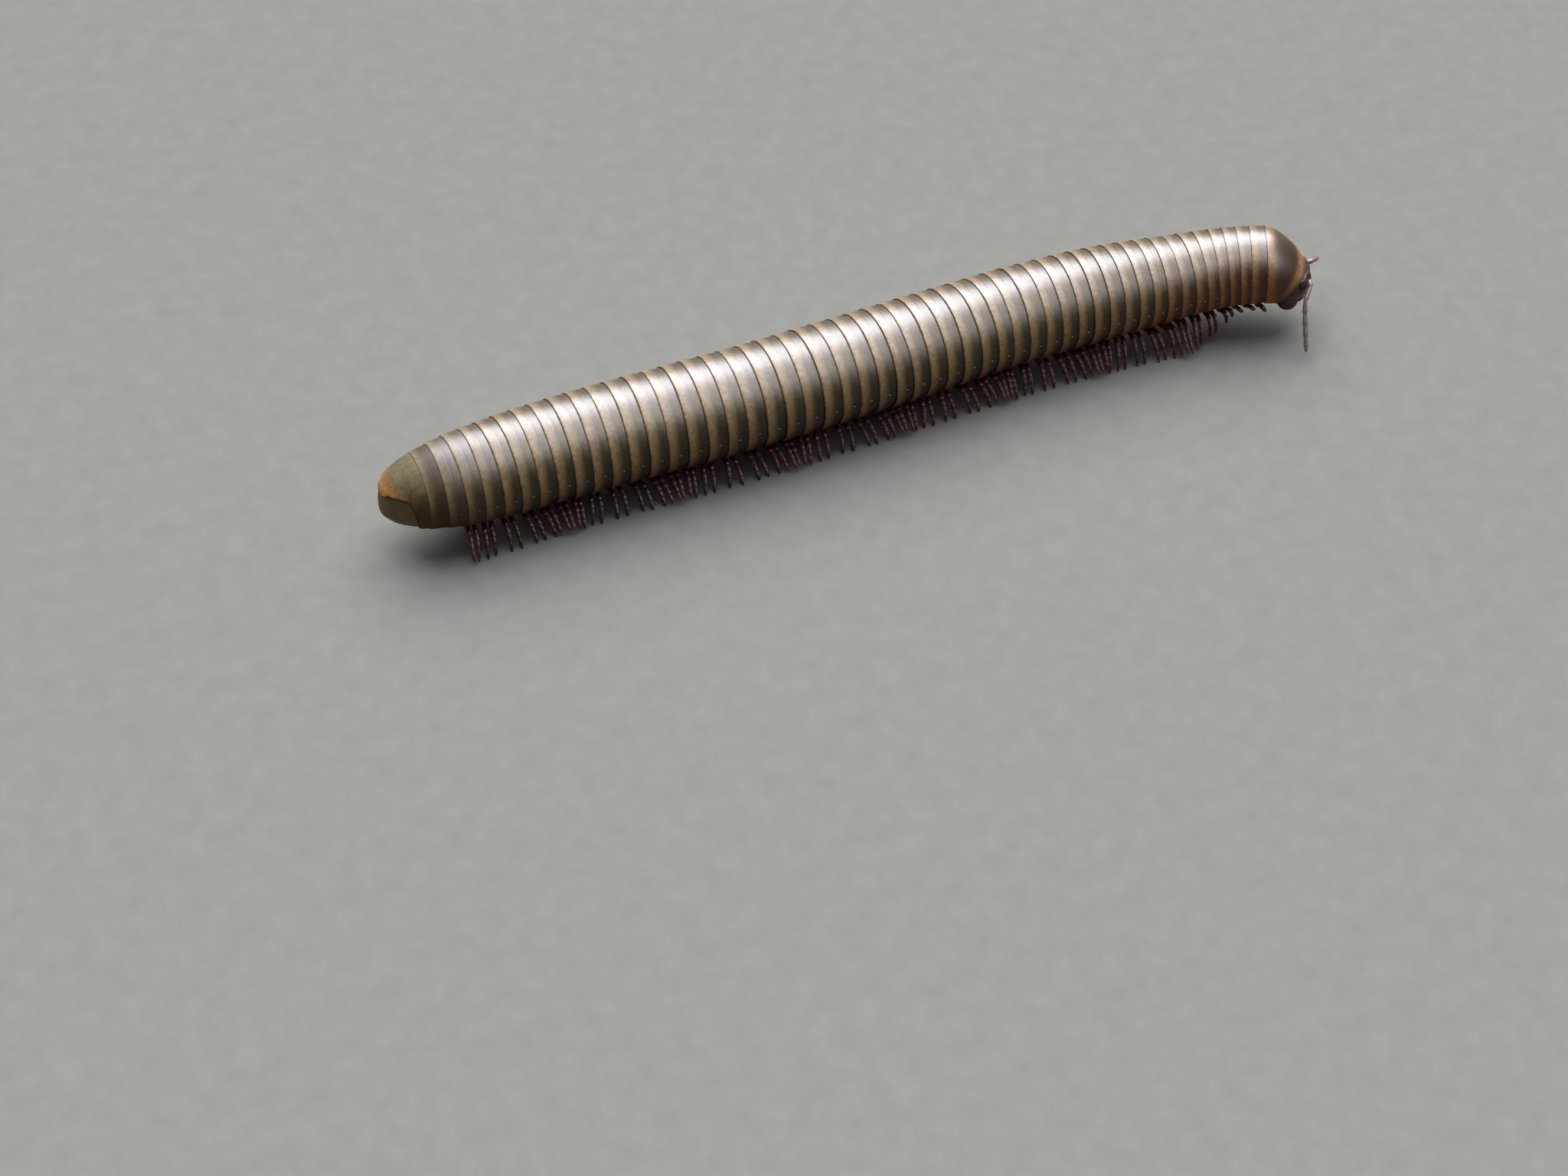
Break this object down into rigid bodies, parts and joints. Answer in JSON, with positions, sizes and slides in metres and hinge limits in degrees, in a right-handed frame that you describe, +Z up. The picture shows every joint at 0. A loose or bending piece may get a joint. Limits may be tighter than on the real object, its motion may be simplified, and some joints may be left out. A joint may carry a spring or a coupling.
{
  "type": "giant millipede",
  "caption": "Life-size giant millipede, still, in mid walk: banded cylindrical body, wave of fine legs under it, shielded head with two antennae.",
  "frame": {"origin": "on the floor, under the middle of the bounding box", "axes": "+X from the tail to the head, +Y to the animal's left, +Z up"},
  "size_m": [0.0944, 0.015, 0.011],
  "materials": {
    "ring_cuticle": "hard glossy cuticle, dark olive brown, each ring with an amber to tan hind band; stands in for chitin",
    "head_cuticle": "satin red brown cuticle; stands in for chitin",
    "leg_cuticle": "satin dark red cuticle; stands in for chitin",
    "eye_lenses": "glossy black lenses in a patch",
    "valve_cuticle": "smooth dark brown cuticle; stands in for chitin"
  },
  "bodies": {
    "root": {"head": "head_cuticle", "mouth_plate": "head_cuticle", "cheek_left": "head_cuticle", "cheek_right": "head_cuticle", "eye_left": "eye_lenses", "eye_right": "eye_lenses", "antenna_left": "leg_cuticle", "antenna_right": "leg_cuticle", "collum": "ring_cuticle", "trunk_1": "ring_cuticle", "trunk_2": "ring_cuticle", "trunk_3": "ring_cuticle", "trunk_4": "ring_cuticle", "trunk_5": "ring_cuticle", "trunk_6": "ring_cuticle", "trunk_7": "ring_cuticle", "trunk_8": "ring_cuticle", "tail_rings": "ring_cuticle", "telson_hood": "ring_cuticle", "anal_valve_left": "valve_cuticle", "anal_valve_right": "valve_cuticle"}
  },
  "joints": []
}
